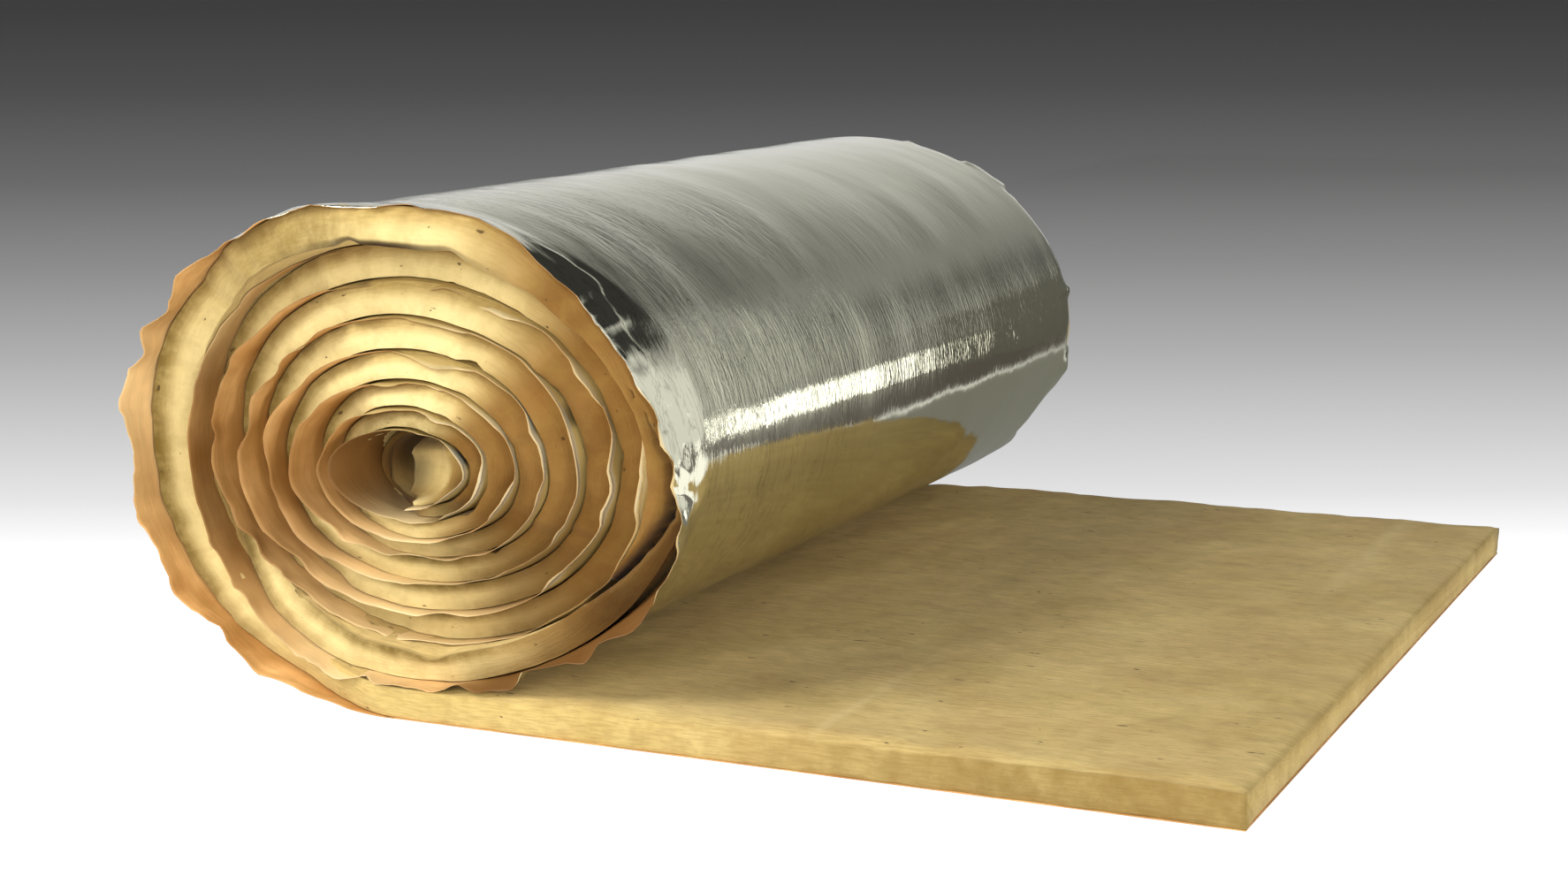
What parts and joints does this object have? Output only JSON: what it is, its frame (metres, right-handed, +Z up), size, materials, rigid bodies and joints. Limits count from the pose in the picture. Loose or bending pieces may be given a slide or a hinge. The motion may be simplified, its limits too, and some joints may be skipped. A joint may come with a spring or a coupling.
{
  "type": "insulation roll",
  "caption": "Mineral-wool insulation mat with a foil facing, wound into a loose open-cored roll and partly unrolled flat.",
  "frame": {"origin": "on the ground, below the middle of the whole object's bounding box", "axes": "+Y along the roll's axis towards its far end, +X the way the loose end runs out flat, +Z up"},
  "size_m": [1.1842, 1.2786, 0.5087],
  "materials": {
    "wool": "matt fibrous mineral wool, straw yellow to tan",
    "foil": "thin wrinkled foil facing, mirror bright to satin, on brown kraft paper that shows inside its free margins"
  },
  "bodies": {
    "root": {"wool_mat": "wool", "foil_facing": "foil"}
  },
  "joints": []
}
